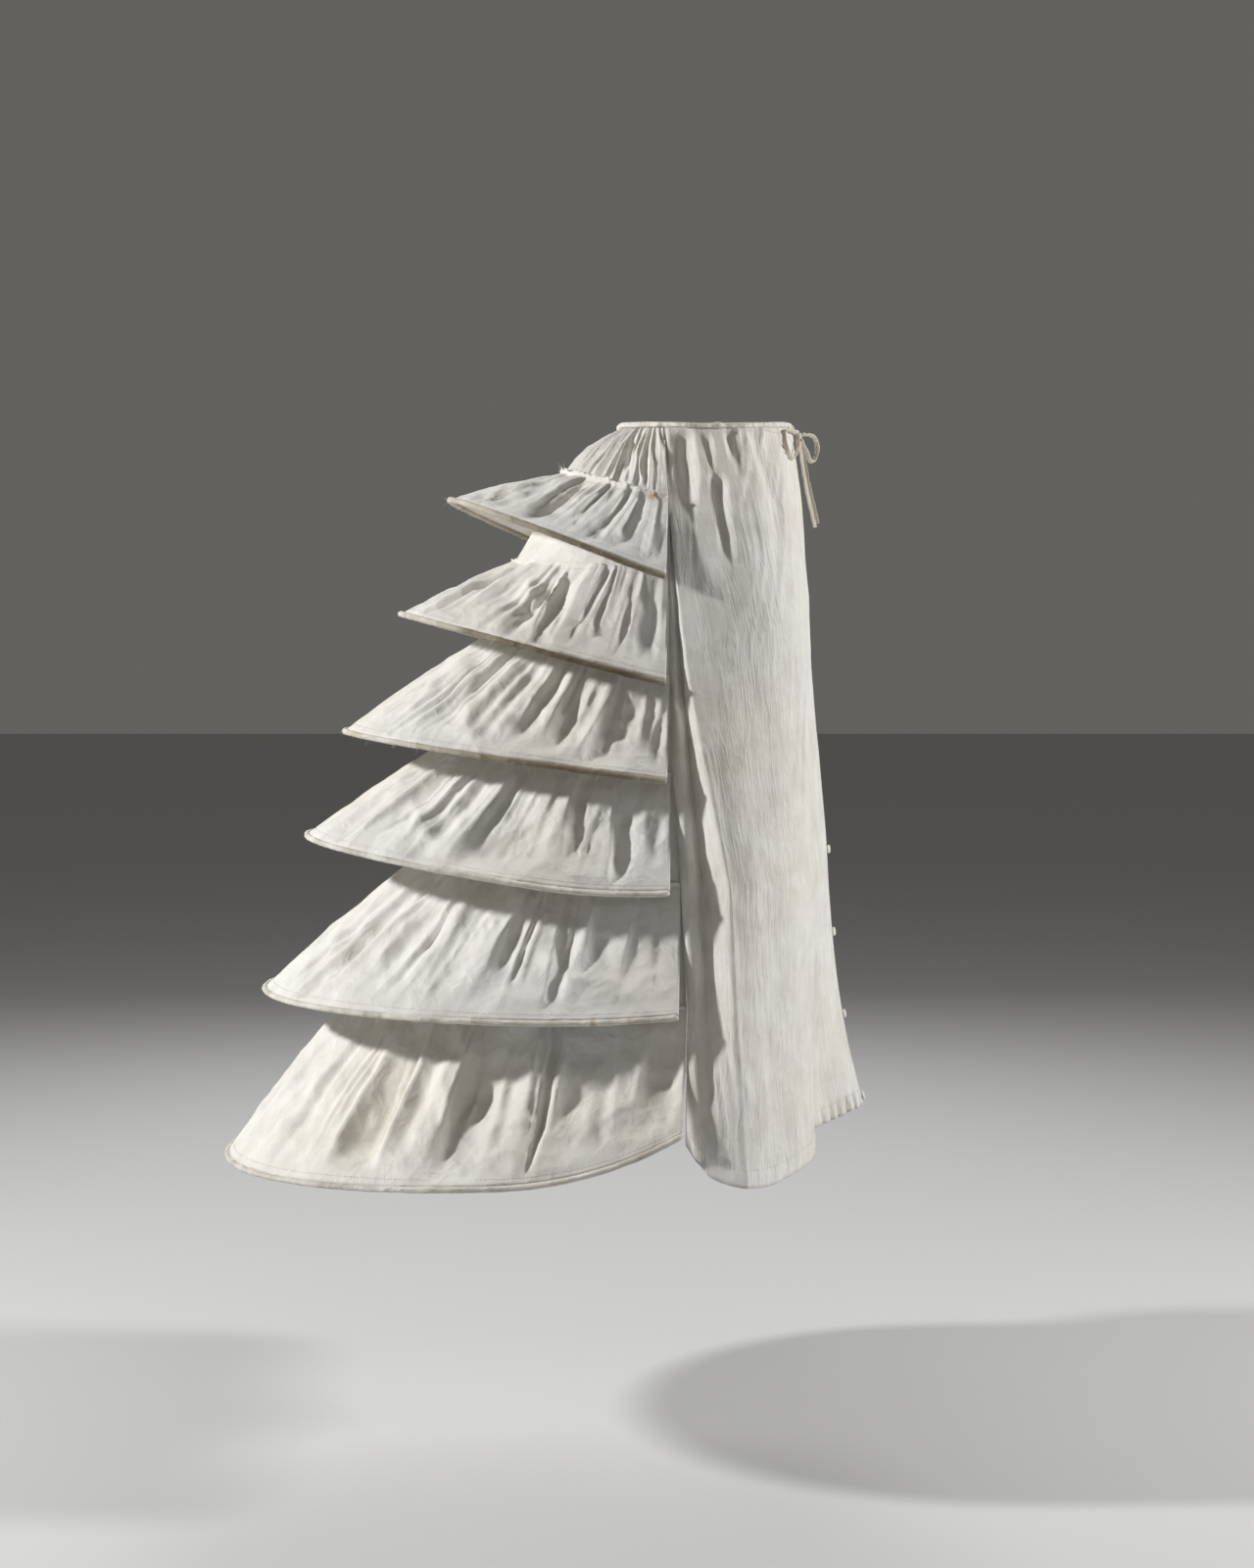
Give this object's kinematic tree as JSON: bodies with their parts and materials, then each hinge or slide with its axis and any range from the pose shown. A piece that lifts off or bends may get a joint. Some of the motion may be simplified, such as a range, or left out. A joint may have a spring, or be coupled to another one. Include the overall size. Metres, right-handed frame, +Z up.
{
  "type": "tiered bustle",
  "caption": "Bustle petticoat of gathered cotton flounces held out behind by steel hoops, with a buttoned front and a drawstring waist.",
  "frame": {"origin": "middle of the waist opening, at half the height of the waist tape", "axes": "+X towards the wearer's front, +Y towards the wearer's left, +Z up"},
  "size_m": [0.6523, 0.5876, 0.7425],
  "materials": {
    "cotton_cloth": "matt",
    "cotton_tape": "matt",
    "drawstring_tape": "matt",
    "spring_steel": "satin",
    "covered_button": "matt"
  },
  "bodies": {
    "root": {"yoke": "cotton_cloth", "back_panel": "cotton_cloth", "flounce_1": "cotton_cloth", "flounce_2": "cotton_cloth", "flounce_3": "cotton_cloth", "flounce_4": "cotton_cloth", "flounce_5": "cotton_cloth", "flounce_6": "cotton_cloth", "front_panel_right": "cotton_cloth", "front_panel_left": "cotton_cloth", "waist_tape": "cotton_tape", "hoop_casing_1": "cotton_tape", "hoop_casing_2": "cotton_tape", "hoop_casing_3": "cotton_tape", "hoop_casing_4": "cotton_tape", "hoop_casing_5": "cotton_tape", "hoop_casing_6": "cotton_tape", "drawstring": "drawstring_tape", "bow_knot": "drawstring_tape", "bow_loop_right": "drawstring_tape", "bow_loop_left": "drawstring_tape", "tie_tail_right": "drawstring_tape", "tie_tail_left": "drawstring_tape", "hoop_steel_1": "spring_steel", "hoop_steel_2": "spring_steel", "hoop_steel_3": "spring_steel", "hoop_steel_4": "spring_steel", "hoop_steel_5": "spring_steel", "hoop_steel_6": "spring_steel", "buttons": "covered_button"}
  },
  "joints": []
}
